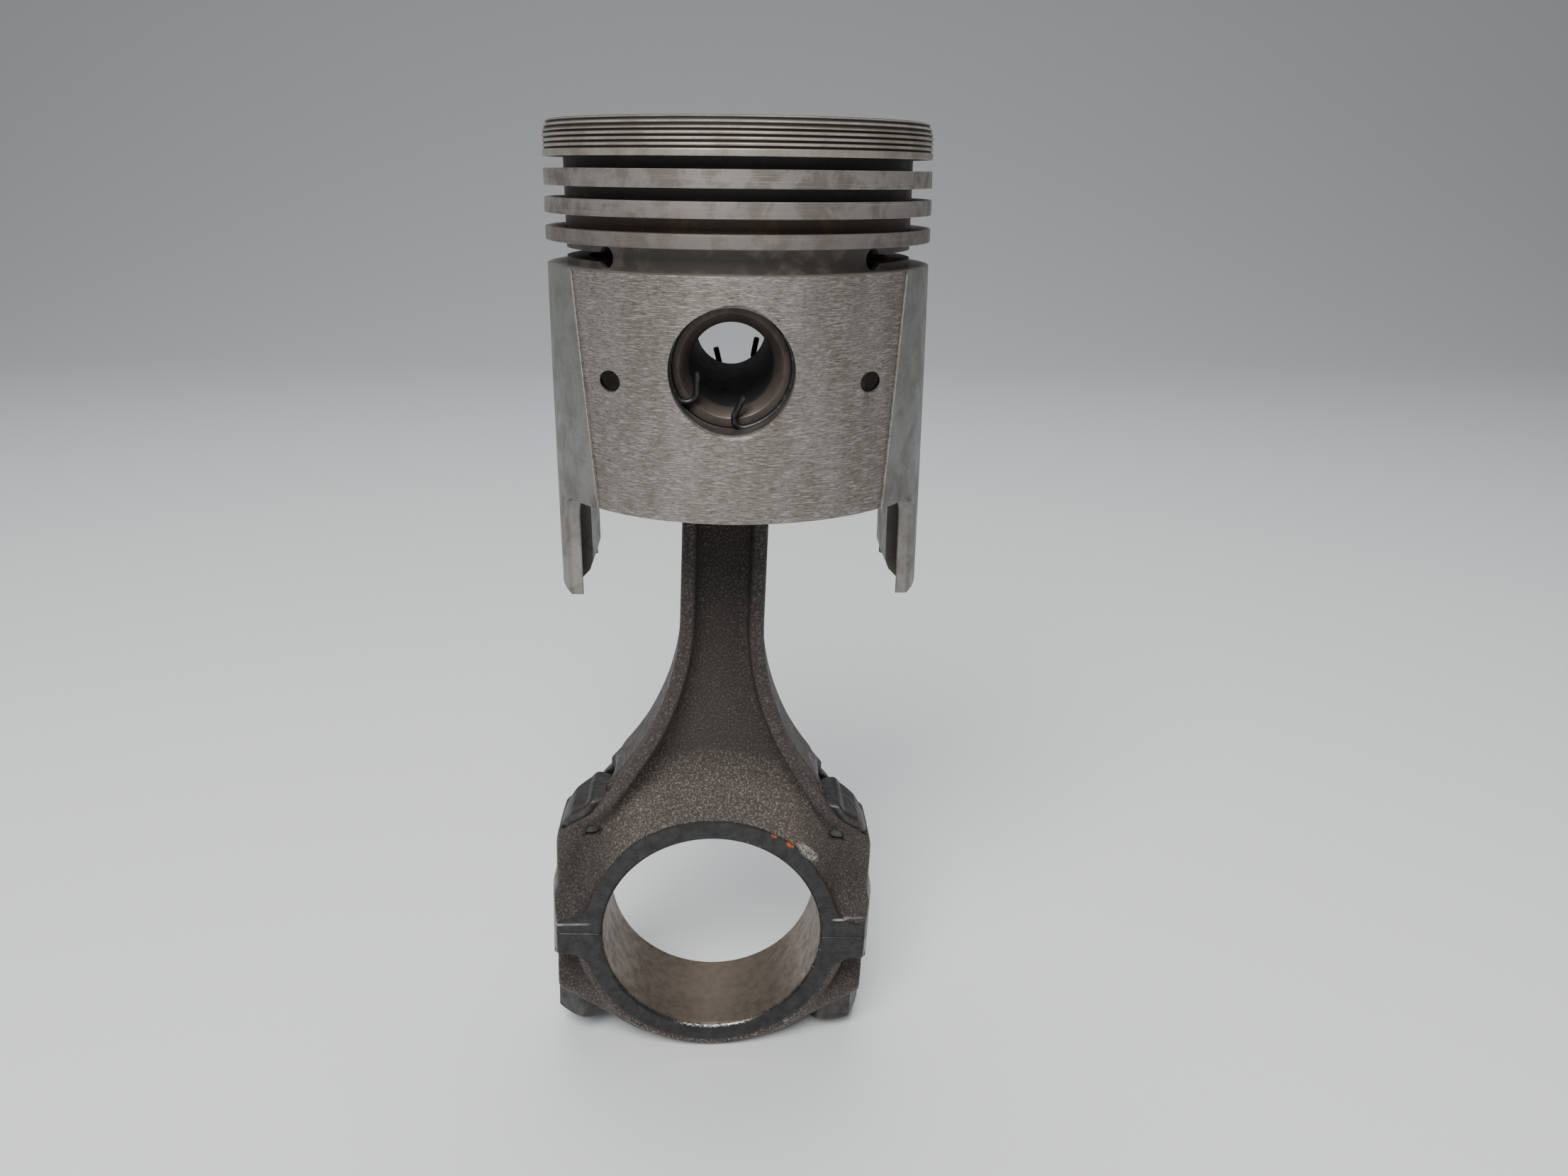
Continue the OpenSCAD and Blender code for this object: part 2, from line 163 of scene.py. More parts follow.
def field_mesh(name, field, lo, hi, step, to_row, masks=None):
    """A mesh of the surface where field is 0, each vertex then moved onto that surface."""
    axes = [np.arange(a - 2 * step, b + 2 * step, step) for a, b in zip(lo, hi)]
    x, y, z = axes[0][:, None, None], axes[1][None, :, None], axes[2][None, None, :]
    samples = np.broadcast_to(field(x, y, z), [len(a) for a in axes]).astype(np.float32)
    grid = vdb.FloatGrid(9.0)
    grid.copyFromArray(np.ascontiguousarray(samples))
    points, quads = grid.convertToQuads(0.0)
    p = points.astype(float) * step + np.array([a[0] for a in axes])
    eps = 0.02
    for _ in range(3):
        d = field(*p.T)
        g = np.stack([field(*(p + np.eye(3)[k] * eps).T) - d for k in range(3)], 1) / eps
        move = d[:, None] * g / np.maximum((g * g).sum(1), 0.2)[:, None]
        p -= np.clip(move, -step / 3, step / 3)
    me = bpy.data.meshes.new(name)
    me.vertices.add(len(p))
    me.vertices.foreach_set("co", p.ravel())
    me.loops.add(quads.size)
    me.loops.foreach_set("vertex_index", quads[:, ::-1].ravel().astype(np.int32))
    me.polygons.add(len(quads))
    me.polygons.foreach_set("loop_start", np.arange(0, quads.size, 4, dtype=np.int32))
    me.update()
    me.validate()
    for key, mask in (masks or {}).items():
        values = np.clip(mask(*p.T), 0, 1).astype(np.float32)
        me.attributes.new(key, "FLOAT", "POINT").data.foreach_set("value", values)
    return finish_mesh(name, me, to_row, 50)


def finish_mesh(name, me, to_row, sharp_angle=28):
    """Scale a mesh from mm, move it into the row frame and make an object of it."""
    me.transform(Matrix.Scale(MM, 4) @ to_row)
    if me.polygons:
        me.polygons.foreach_set("use_smooth", [True] * len(me.polygons))
    me.set_sharp_from_angle(angle=math.radians(sharp_angle))
    obj = bpy.data.objects.new(name, me)
    bpy.context.scene.collection.objects.link(obj)
    return obj


# ------------------------------------------------------------------ meshes from profiles
def lathe(profile, segments=96, closed=True):
    """A solid turned about Z from (radius, z) points; ends on the axis are capped by a fan."""
    bm = bmesh.new()
    rings = []
    for r, z in profile:
        if r < 1e-6:
            rings.append([bm.verts.new((0, 0, z))] * segments)
        else:
            rings.append([bm.verts.new((r * math.cos(2 * math.pi * k / segments),
                                        r * math.sin(2 * math.pi * k / segments), z))
                          for k in range(segments)])
    pairs = list(zip(rings, rings[1:]))
    if closed:
        pairs.append((rings[-1], rings[0]))
    for a, b in pairs:
        for k in range(segments):
            n = (k + 1) % segments
            corners = []
            for v in (a[k], a[n], b[n], b[k]):
                if v not in corners:
                    corners.append(v)
            if len(corners) > 2:
                bm.faces.new(corners)
    bmesh.ops.recalc_face_normals(bm, faces=bm.faces)
    return bm


def bar_y(r, y0, y1, x=0.0, z=0.0, segments=64, r_end=None):
    """A round bar along Y."""
    bm = lathe([(0, y0), (r, y0), (r if r_end is None else r_end, y1), (0, y1)], segments, False)
    bm.transform(Matrix.Translation((x, 0, z)) @ Matrix.Rotation(math.radians(-90), 4, "X"))
    return bm


def prism(points, lo, hi, axis="Y"):
    """A flat outline made thick along an axis; its points give the other two coordinates in order."""
    place = {"X": lambda a, b, t: (t, a, b),
             "Y": lambda a, b, t: (a, t, b),
             "Z": lambda a, b, t: (a, b, t)}[axis]
    bm = bmesh.new()
    ends = [[bm.verts.new(place(a, b, t)) for a, b in points] for t in (lo, hi)]
    n = len(points)
    bm.faces.new(ends[0])
    bm.faces.new(ends[1])
    for k in range(n):
        bm.faces.new((ends[0][k], ends[0][(k + 1) % n], ends[1][(k + 1) % n], ends[1][k]))
    bmesh.ops.recalc_face_normals(bm, faces=bm.faces)
    return bm


def block(x0, x1, y0, y1, z0, z1):
    return prism([(x0, z0), (x1, z0), (x1, z1), (x0, z1)], y0, y1)


def boolean(base, operation, *tools):
    """base, a bmesh, cut by or joined to each tool in turn; the tools are used up."""
    scene = bpy.context.scene.collection
    for tool in tools:
        pair = []
        for bm in (base, tool):
            me = bpy.data.meshes.new("solid")
            bm.to_mesh(me)
            bm.free()
            obj = bpy.data.objects.new("solid", me)
            scene.objects.link(obj)
            pair.append(obj)
        mod = pair[0].modifiers.new("cut", "BOOLEAN")
        mod.object = pair[1]
        mod.operation = operation
        mod.solver = "MANIFOLD"
        bpy.context.view_layer.update()
        done = pair[0].evaluated_get(bpy.context.evaluated_depsgraph_get()).to_mesh()
        base = bmesh.new()
        base.from_mesh(done)
        pair[0].evaluated_get(bpy.context.evaluated_depsgraph_get()).to_mesh_clear()
        for obj in pair:
            me = obj.data
            bpy.data.objects.remove(obj)
            bpy.data.meshes.remove(me)
    return base


def to_object(name, bm, to_row, sharp_angle=28):
    me = bpy.data.meshes.new(name)
    bm.to_mesh(me)
    bm.free()
    return finish_mesh(name, me, to_row, sharp_angle)


# ------------------------------------------------------------------ connecting rod and cap
SWEEP_R, SWEEP_X, SWEEP_Z, SWEEP_END = 67.0, 77.5, 87.0, 48.0  # arc from the beam out to a shoulder
FLANGE_T = 3.6
BEAM_TOP_X = 10.4
CORNER_R, CORNER_X, CORNER_Z = 18.6, SHOULDER_X - 18.6, 20.0  # arc round a shoulder
JOINT_GAP = 0.01  # the rod and the cap each stop this far from the joint

rod_outline = Outline(
    [(-20, -5), (-20, ROD_LEN), (BEAM_TOP_X, ROD_LEN)]
    + arc(SWEEP_X, SWEEP_Z, SWEEP_R, 180, 180 + SWEEP_END)
    + arc(CORNER_X, CORNER_Z, CORNER_R, SWEEP_END, 0)
    + [(SHOULDER_X, 12.5), (TURNED_R + 1, 9), (TURNED_R + 1, -5)],
    (-2, -8), (50, 180))

# Front and rear walls of the bolt pockets
rim_outline = Outline(
    [(-20, -5), (-20, ROD_LEN), (BEAM_TOP_X, ROD_LEN)]
    + arc(SWEEP_X, SWEEP_Z, SWEEP_R, 180, 218.5)
    + [(26.9, 41.1), (28.7, 37.8), (30.7, 35.5), (32.5, 33.2), (37.1, 29.9), (39.6, 28.1), (42.2, 27.2),
       (46, 24), (46, -5)],
    (-2, -8), (50, 180))

# Recess that leaves the web between the flanges
window_outline = Outline(
    [(-20, 20), (-20, 133), (5, 133), (6.6, 131), (6.9, 127)]
    + arc(SWEEP_X, SWEEP_Z, SWEEP_R + FLANGE_T, 180, 209)
    + [(30.5, 28.5), (26, 22)],
    (-2, 10), (50, 180))

cap_outline = Outline(
    [(-20, 5), (TURNED_R + 1, 5), (TURNED_R + 1, -10.8), (SHOULDER_X + 0.4, -12.2),
     (SHOULDER_X + 0.4, -20), (40.8, -23.2), (36, -24.2), (30.5, -26.4), (24, -30.5), (18, -32.6),
     (-20, -32.6)],
    (-2, -45), (50, 10))


def turned_radius(z):
    """Turned near the joint, and 1 mm less where the forged skin is left."""
    up = np.interp(z, [9.3, 12.5], [0, 1])
    down = np.interp(-z, [11.0, 12.3], [0, 1])
    return TURNED_R - np.maximum(up, down)


def joint_face(x, y, z, pad_z, fillet):
    """The thrust ring and the flat pads beside the joint, which share one machined face."""
    rho = np.hypot(x, z)
    pad = np.maximum(pad_z, 20 - np.abs(x))
    return smax(smin(rho - RING_R, pad, fillet), np.abs(y) - BIG_HALF_W, 0.5)


def bore_cut(d, x, y, z):
    """Cut the big-end bore and the chamfers at its rims."""
    rho = np.hypot(x, z)
    d = smax(d, BIG_R - rho, 0.25)
    chamfer = (BIG_R + BIG_CHAMFER - rho - (BIG_HALF_W - np.abs(y))) / math.sqrt(2)
    return smax(d, chamfer, 0.2)


def rod_depth(ax, z):
    """Half depth of the forging: deeper towards the big end, with a valley inside each shoulder."""
    depth = BEAM_HALF + (BOSS_HALF - BEAM_HALF) * ease((80 - z) / 42)
    depth = depth - 1.0 * ease((ax - 30) / 5) * ease((z - 10) / 9)
    along = np.clip((28 - z) / 14, 0, 1)
    valley = np.hypot(ax - 31 - 5 * along, z - 28 + 14 * along)
    return depth - 1.8 * np.exp(-(valley / 4.0) ** 2)


def bolt_pocket(ax, ay, z):
    """The space round a bolt head, open on the outer side."""
    head = np.hypot(ax - BOLT_X, ay)
    above_seat = HEAD_SEAT - z
    pocket = smax(head - HEAD_R - 0.25, above_seat, 0.6)
    pocket = smax(pocket, HEAD_FLAT - 0.1 - ax, 1.5)
    outward = np.maximum(BOLT_X + 2 - ax, ay - 8.2)
    return smin(pocket, smax(outward, above_seat, 0.6), 0.5)


def rod_field(x, y, z):
    ax, ay = np.abs(x), np.abs(y)
    rho = np.hypot(x, z)
    head = np.hypot(ax - BOLT_X, y)
    depth = rod_depth(ax, z)
    outline = rod_outline(ax, z)
    d = smax(outline, ay - depth, 1.8)

    window = window_outline(ax, z) + 0.16 * (depth - ay)
    recess = smax(smax(window, WEB_HALF - ay, 2.5), HEAD_R + 1.5 - head, 2.0)
    d = smax(d, -recess, 1.0 + 3.0 * ease((50 - z) / 20))
    bulge = ((rho - 47) * 11.3 + (ay - WEB_HALF) * 12) / 16.48 + 0.018 * np.maximum(ax - 20, 0) ** 2
    d = smin(d, smax(bulge, outline + 1.0, 2.0), 2.0)

    small = np.hypot(x, z - ROD_LEN)
    eye = smax(small - EYE_R, ay - EYE_HALF, 0.8)
    d = smin(d, eye, 7.0)

    flare = smax(z - 9.5 + 1.1 * (ay - 9.5), ay - BIG_HALF_W + 0.3, 1.0)
    d = smin(d, smax(flare, 29 - ax, 3.0), 3.0)
    d = smin(d, joint_face(x, y, z, z - 4.3, 6.5), 0.5)
    d = smax(d, ay - BIG_HALF_W, 0.3)
    d = smax(d, np.hypot(x, y) - turned_radius(z), 0.5)

    d = smax(d, np.minimum(rim_outline(ax, z), ay - 7.8), 0.8)
    d = smax(d, -bolt_pocket(ax, ay, z), 0.5)
    d = smax(d, BOLT_HOLE_R - head, 0.2)
    d = bore_cut(d, x, y, z)
    d = smax(d, BUSH_R - small, 0.3)
    return smax(d, JOINT_GAP - z, 0.06)


def cap_field(x, y, z):
    ax, ay = np.abs(x), np.abs(y)
    rho = np.hypot(x, z)
    half_depth = BOSS_HALF + 0.8
    scoop = 5.6 * np.exp(-((z + 13) / 4.8) ** 2) * ease((ax - 25) / 6)
    bosses = smax(cap_outline(ax, z), ay - half_depth + scoop, 2.2)
    bevel = (ay - z - 31.2 - 0.74 * (38.9 - ax)) / 1.6
    bosses = smax(bosses, bevel, 1.5)

    rim = smax(rho - CAP_R, ay - half_depth, 0.8)
    cone = ((rho - CAP_R) * 2.3 + (ay - half_depth) * 1.8) / 2.92
    slope = smax(smax(cone, ay - BIG_HALF_W + 0.6, 0.5), rho - CAP_R, 0.8)
    rim = smin(rim, slope, 0.5)
    d = smin(bosses, rim, 2.0)

    d = smin(d, joint_face(x, y, z, -6.6 - z, 6.0), 0.6)
    d = smax(d, ay - BIG_HALF_W, 0.3)
    d = smax(d, np.hypot(x, y) - turned_radius(z), 0.5)
    d = smax(d, -CAP_FOOT - z, 0.5)
    nut = np.hypot(ax - BOLT_X, y)
    d = smax(d, -np.maximum(nut - NUT_AF / math.sqrt(3) - 0.36, z + NUT_SEAT), 0.4)
    d = smax(d, BOLT_HOLE_R - nut, 0.2)
    d = bore_cut(d, x, y, z)
    return smax(d, z + JOINT_GAP, 0.06)


def machined_mask(x, y, z):
    """1 on faces that a tool has cut, 0 on the forged skin."""
    ax, ay = np.abs(x), np.abs(y)
    rho = np.hypot(x, z)
    head = np.hypot(ax - BOLT_X, y)
    cut = (ay > BIG_HALF_W - 0.15) | (rho < BIG_R + 0.9) | (np.abs(z) < 0.3)
    cut |= (np.hypot(x, y) > turned_radius(z) - 0.12) & (np.abs(z) < 12)
    cut |= (head < HEAD_R + 0.75) & (z > HEAD_SEAT - 0.1) & (z < 60)
    cut |= (z < -CAP_FOOT + 0.15) | ((np.abs(z + NUT_SEAT) < 0.1) & (head < 9.6))
    return cut.astype(float)


def bore_mask(x, y, z):
    return (np.hypot(x, z) < BIG_R + 0.12).astype(float)


FORGING_STEP = 0.4
masks = {"machined": machined_mask, "bore": bore_mask}
rod = field_mesh("connecting_rod_forging", rod_field, (-45, -15, 0), (45, 15, ROD_LEN + 19), FORGING_STEP,
                 ROD_FRAME, masks)
cap = field_mesh("big_end_cap_forging", cap_field, (-45, -15, -CAP_FOOT - 1), (45, 15, 0.5), FORGING_STEP,
                 ROD_FRAME, masks)


def bolt_field(x, y, z):
    """The right-hand bolt, its head cut back along the shoulder."""
    r = np.hypot(x - BOLT_X, y)
    head = smax(r - HEAD_R, HEAD_SEAT + 0.02 - z, 0.5)
    head = smax(smax(head, HEAD_FLAT - x, 0.8), z - HEAD_TOP, 1.2)
    shoulder = np.maximum(rod_outline(np.abs(x), z) + 0.1, rim_outline(np.abs(x), z) - 2.0)
    head = smax(head, shoulder, 0.8)
    head = smax(head, np.hypot(x, y) - turned_radius(z) + 0.05, 0.6)
    shank = smax(r - SHANK_R, -NUT_SEAT - NUT_H - 2 - z, 0.6)
    return smin(head, smax(shank, z - HEAD_SEAT - 2, 0.3), 0.3)


def nut_field(x, y, z):
    """A hexagon nut standing on z = 0, its corners rounded off at both ends."""
    hexagon = np.abs(x)
    for a in (60, 120):
        c, s = math.cos(math.radians(a)), math.sin(math.radians(a))
        hexagon = smax(hexagon, np.abs(x * c + y * s), 0.35)
    past_end = np.abs(z - NUT_H / 2) - NUT_H / 2
    d = smax(hexagon - NUT_AF / 2, past_end + 0.02, 0.35)
    r = np.hypot(x, y)
    cone = (r - NUT_AF / 2 + 0.2) * 0.5 + past_end * 0.866
    d = smax(d, cone, 0.3)
    return smax(d, 4.03 - r, 0.4)


bolts = []
nuts = []
for label, side, turn in (("left", -1, 23), ("right", 1, 10)):
    flip = Matrix.Diagonal((side, 1, 1, 1))
    bolt = field_mesh(f"big_end_bolt_{label}", bolt_field, (24, -9, -35), (43.5, 9, 45), 0.3,
                      ROD_FRAME @ flip)
    if side < 0:
        bolt.data.flip_normals()
    bolts.append(bolt)
    spot = Matrix.Translation((side * BOLT_X, 0, -NUT_SEAT - NUT_H))
    spot = spot @ Matrix.Rotation(math.radians(turn - 30), 4, "Z")
    nuts.append(field_mesh(f"big_end_nut_{label}", nut_field, (-10, -10, 0), (10, 10, NUT_H), 0.22,
                           ROD_FRAME @ spot))


# ------------------------------------------------------------------ piston
# Built with its crown at z = 0, so most sizes along the axis are depths below the crown
LAND_R = SKIRT_R - 0.35
ROOT_R = 38.8  # floor of every groove
INNER_R = SKIRT_R - 3.1
G1, G2, G3, OIL = (7.45, 9.79), (13.35, 15.75), (18.97, 21.84), (24.66, 29.69)  # top and foot of each groove
SKIRT_TOP = OIL[1]
SKIRT_FOOT = 80.2
RELIEF_R = SKIRT_R - 0.42
RELIEF_TOP_X, RELIEF_FOOT_X = 35.35, 31.0  # half width of the relief at the top and foot of the skirt
SLOT_DEPTH, SLOT_HALF_H, SLOT_ANGLE = 27.25, 0.95, 44.4
DRILL_R = 2.25
SIDE_HOLE_X, SIDE_HOLE_DEPTH = 27.3, 51.8
BOSS_R, BOSS_FACE = 19.0, 14.8
FIT_R = 13.02  # bore for the wrist pin, in the piston and in the bush
SEGMENTS = 384


def mirrored(points):
    return [(-a, b) for a, b in points]


def land(r, top, foot, edge=0.12):
    """The outside of one land, with its edges just broken."""
    return [(r - edge, -top), (r, -top - edge), (r, -foot + edge), (r - edge, -foot)]


def vcuts(radius_at, count=6, first=0.62, pitch=1.04, half=0.28, depth=0.42):
    """Shallow cuts round the top land, with rounded ribs between them."""
    points = []
    for k in range(count):
        z = -first - k * pitch
        r = radius_at(-z)
        points += [(r - 0.06, z + half + 0.06), (r - 0.16, z + half - 0.04), (r - depth, z + 0.05),
                   (r - depth, z - 0.05), (r - 0.16, z - half + 0.04), (r - 0.06, z - half - 0.06),
                   (r, z - half - 0.18)]
    return points


def top_land_radius(depth):
    """The top land tapers over its upper part."""
    return LAND_R - 0.9 * max(0.0, 1 - depth / 2.4)


def skirt_profile(steps=24):
    """The skirt's wall, which swells a little below the oil groove."""
    points = land(SKIRT_R - 0.23, SKIRT_TOP, SKIRT_TOP + 1, 0.15)[:2]
    for k in range(1, steps + 1):
        depth = SKIRT_TOP + (TANG_LEN - 0.8 - SKIRT_TOP) * k / steps
        swell = float(np.interp(depth, [SKIRT_TOP, 52, 84, TANG_LEN], [-0.23, -0.06, 0, -0.02]))
        points.append((swell + SKIRT_R, -depth))
    return points


def solid_blank():
    """The outside of the piston with its grooves, as one turned solid."""
    profile = [(0, 0), (LAND_R - 1.5, 0), (LAND_R - 1.15, -0.08), (LAND_R - 0.9, -0.28)]
    profile += vcuts(top_land_radius)
    profile += land(LAND_R, 6.3, G1[0])[2:]
    for (top, foot), next_top, grow in ((G1, G2[0], 0.05), (G2, G3[0], 0.16), (G3, OIL[0], 0.2)):
        profile += [(ROOT_R, -top), (ROOT_R, -foot)] + land(LAND_R + grow, foot, next_top)
    profile += [(ROOT_R, -OIL[0]), (ROOT_R, -OIL[1])]
    profile += skirt_profile() + [(SKIRT_R - 0.6, -TANG_LEN), (0, -TANG_LEN)]
    return lathe(profile, SEGMENTS, False)


def hollow():
    """The space inside the crown and the skirt."""
    profile = [(0, -9), (30.5, -9), (32.6, -9.9), (33.7, -11.4), (34, -13), (34, -SKIRT_TOP - 3),
               (INNER_R - 0.2, -SKIRT_TOP - 8), (INNER_R, -60), (INNER_R, -SKIRT_FOOT),
               (INNER_R, -TANG_LEN - 1), (0, -TANG_LEN - 1)]
    return lathe(profile, 192, False)


def bosses_and_pads():
    """The pin bosses and the pads inside the tangs, kept to the inside of the skirt."""
    core = lathe([(0, -2), (INNER_R + 0.2, -2), (INNER_R + 0.2, -SKIRT_FOOT), (INNER_R + 0.2, -TANG_LEN),
                  (0, -TANG_LEN)], 192, False)
    bosses = boolean(bar_y(BOSS_R, -42, -BOSS_FACE, -PIN_OFFSET, -PIN_DEPTH, 128), "UNION",
                     bar_y(BOSS_R, BOSS_FACE, 42, -PIN_OFFSET, -PIN_DEPTH, 128))
    pad = [(40.9, -56), (35.3, -62), (35.3, -98.6), (36.1, -101.2), (38, -103.2), (41.2, -103.2)]
    pads = boolean(prism(pad, -9, 9), "UNION", prism(mirrored(pad), -9, 9))
    return boolean(core, "INTERSECT", boolean(bosses, "UNION", pads))


def boss_ribs():
    """Two ribs from each pin boss up to the crown."""
    for side in (-1, 1):
        for y0, y1 in ((-33, -BOSS_FACE), (BOSS_FACE, 33)):
            x = -PIN_OFFSET + side * 14
            core = lathe([(0, -4), (36.5, -4), (36.5, -PIN_DEPTH - 1), (0, -PIN_DEPTH - 1)], 128, False)
            yield boolean(block(x - 3, x + 3, y0, y1, -PIN_DEPTH, -8), "INTERSECT", core)


def skirt_notches(tang_half=16.3, fillet=5.5):
    """What is cut from the foot of the skirt to leave the two tangs."""
    notch = [(tang_half, -120)] + arc(tang_half + fillet, -SKIRT_FOOT - fillet, fillet, 180, 90, 12)
    notch += [(60, -SKIRT_FOOT), (60, -120)]
    return prism(notch, -60, 60, "X"), prism(mirrored(notch), -60, 60, "X")


def relief():
    """The shallow cut on the pin sides of the skirt."""
    ring = lathe([(RELIEF_R - 0.3, -SKIRT_FOOT - 1), (SKIRT_R + 3, -SKIRT_FOOT - 1),
                  (SKIRT_R + 3, -SKIRT_TOP + 0.5), (RELIEF_R, -SKIRT_TOP + 0.5),
                  (RELIEF_R, -SKIRT_FOOT + 1.6)], SEGMENTS)
    zone = prism([(-RELIEF_TOP_X, -SKIRT_TOP + 1), (RELIEF_TOP_X, -SKIRT_TOP + 1),
                  (RELIEF_FOOT_X, -SKIRT_FOOT - 2), (-RELIEF_FOOT_X, -SKIRT_FOOT - 2)], -60, 60)
    return boolean(ring, "INTERSECT", zone)


def oil_slots():
    """The slots in the oil groove, one about each thrust side."""
    top, foot = -SLOT_DEPTH + SLOT_HALF_H, -SLOT_DEPTH - SLOT_HALF_H
    ring = lathe([(32.5, foot), (ROOT_R + 1, foot), (ROOT_R + 1, top), (32.5, top)], 192)
    wedge = [(0, 0)] + arc(0, 0, 60, -SLOT_ANGLE, SLOT_ANGLE, 8)
    wedges = boolean(prism(wedge, -40, -10, "Z"), "UNION", prism(mirrored(wedge), -40, -10, "Z"))
    return boolean(ring, "INTERSECT", wedges)


def drillings():
    """The drillings at the slots' ends, and the small holes beside the pin bore."""
    for angle in (SLOT_ANGLE, 180 - SLOT_ANGLE, 180 + SLOT_ANGLE, -SLOT_ANGLE):
        drill = bar_y(DRILL_R, 31, 44, 0, 0, 32)
        drill.transform(Matrix.Rotation(math.radians(angle - 90), 4, "Z"))
        drill.transform(Matrix.Translation((0, 0, -SLOT_DEPTH)))
        yield drill
    for side in (-1, 1):
        yield bar_y(DRILL_R, -60, 60, side * SIDE_HOLE_X, -SIDE_HOLE_DEPTH, 32)


def pin_bore():
    """The pin bore, its circlip grooves and the bevels at its mouths."""
    yield bar_y(FIT_R, -60, 60, -PIN_OFFSET, -PIN_DEPTH, 192)
    for side in (-1, 1):
        lo, hi = sorted((side * 33.25, side * 34.85))
        yield bar_y(FIT_R + 0.8, lo, hi, -PIN_OFFSET, -PIN_DEPTH, 192)
        mouth = bar_y(FIT_R, side * 42.45, side * 44.5, -PIN_OFFSET, -PIN_DEPTH, 192, FIT_R + 2.05)
        bmesh.ops.recalc_face_normals(mouth, faces=mouth.faces)
        yield mouth


def piston_body():
    body = boolean(solid_blank(), "DIFFERENCE", hollow())
    body = boolean(body, "UNION", bosses_and_pads(), *boss_ribs())
    return boolean(body, "DIFFERENCE", *skirt_notches(), relief(), oil_slots(), *drillings(), *pin_bore())


piston = to_object("piston_casting", piston_body(), PISTON_FRAME, 24)

# ------------------------------------------------------------------ wrist pin, bush, circlips
LATHE_TO_Y = Matrix.Rotation(math.radians(-90), 4, "X")
WIRE_R = 0.73


def pin_profile():
    half = (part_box("wrist_pin")[1].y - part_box("wrist_pin")[0].y) / 2 / MM
    upper = [(8.85, 0), (8.85, half - 3.0), (9.3, half - 2.2), (10.75, half - 0.15), (11.0, half),
             (12.3, half), (12.75, half - 0.12), (12.95, half - 0.45), (13.0, half - 0.8), (13.0, 0)]
    return upper + [(r, -z) for r, z in reversed(upper[1:-1])]


def bush_profile(outer=14.47):
    end = EYE_HALF
    return [(FIT_R, -end + 0.4), (FIT_R + 0.4, -end), (14.3, -end), (outer, -end + 0.2),
            (outer, end - 0.2), (14.3, end), (FIT_R + 0.4, end), (FIT_R, end - 0.4)]


pin = to_object("wrist_pin_tube", lathe(pin_profile(), 256), PIN_FRAME @ LATHE_TO_Y)
bush = to_object("small_end_bush_sleeve", lathe(bush_profile(), 128), PIN_FRAME @ LATHE_TO_Y)


def tube(path, radius, sides=16):
    """A round wire along a path of points in X and Z, its ends domed."""
    pts = [Vector((x, 0, z)) for x, z in path]
    bm = bmesh.new()
    rings = []
    n = len(pts)
    for k, p in enumerate(pts):
        t = (pts[min(k + 1, n - 1)] - pts[max(k - 1, 0)]).normalized()
        across = Vector((0, 1, 0))
        up = t.cross(across)
        turns = [2 * math.pi * s / sides for s in range(sides)]
        rings.append([bm.verts.new(p + radius * (math.cos(a) * across + math.sin(a) * up)) for a in turns])
    for a, b in zip(rings, rings[1:]):
        for s in range(sides):
            bm.faces.new((a[s], a[(s + 1) % sides], b[(s + 1) % sides], b[s]))
    for ring, k, other in ((rings[0], 0, 1), (rings[-1], n - 1, n - 2)):
        out = (pts[k] - pts[other]).normalized()
        inner_ring = [bm.verts.new(pts[k] + 0.7 * (v.co - pts[k]) + out * radius * 0.3) for v in ring]
        for s in range(sides):
            bm.faces.new((ring[s], ring[(s + 1) % sides], inner_ring[(s + 1) % sides], inner_ring[s]))
        bm.faces.new(inner_ring)
    bmesh.ops.recalc_face_normals(bm, faces=bm.faces)
    return bm


def wire_end(r, angle, way, bend, turn, leg):
    """Points of one end, going away from the ring; way is 1 for anticlockwise."""
    a = math.radians(angle)
    cx, cz = (r - bend) * math.cos(a), (r - bend) * math.sin(a)
    points = arc(cx, cz, bend, angle, angle + way * turn, 14)[1:]
    heading = a + way * math.radians(turn + 90)
    x, z = points[-1]
    steps = [leg * k / 5 for k in range(1, 6)]
    return points + [(x + math.cos(heading) * step, z + math.sin(heading) * step) for step in steps]


def circlip_path(r=FIT_R):
    """Ring with a gap low on the left; each end bends inwards to a straight leg."""
    rising, low = 208, 283
    left = wire_end(r, rising, 1, 2.2, 150, 4.1)
    right = wire_end(r, low, -1, 2.0, 130, 4.1)
    return list(reversed(right)) + arc(0, 0, r, low - 360, rising, 140) + left


circlips = {}
for where, turn, flip in (("front", 0, 1), ("rear", 14, -1)):
    lo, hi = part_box(f"circlip_{where}")
    place = Matrix.Translation((PIN.x, (lo.y + hi.y) / 2 / MM, PIN.z))
    place = place @ Matrix.Rotation(math.radians(turn), 4, "Y")
    path = [(flip * x, z) for x, z in circlip_path()]
    circlips[where] = to_object(f"circlip_wire_{where}", tube(path, WIRE_R), place, 40)

# ------------------------------------------------------------------ what rides on what
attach(rod, "rod")
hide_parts("connecting_rod")
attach(cap, "rod")
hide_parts("rod_cap")
for bolt in bolts:
    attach(bolt, "rod")
    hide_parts("rod_bolts")
for nut in nuts:
    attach(nut, "rod")
    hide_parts("rod_nuts")
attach(bush, "rod")
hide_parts("small_end_bush")
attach(piston, "piston")
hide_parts("piston")
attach(pin, "pin")
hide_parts("wrist_pin")
for where, clip in circlips.items():
    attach(clip, "piston")
    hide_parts(f"circlip_{where}")


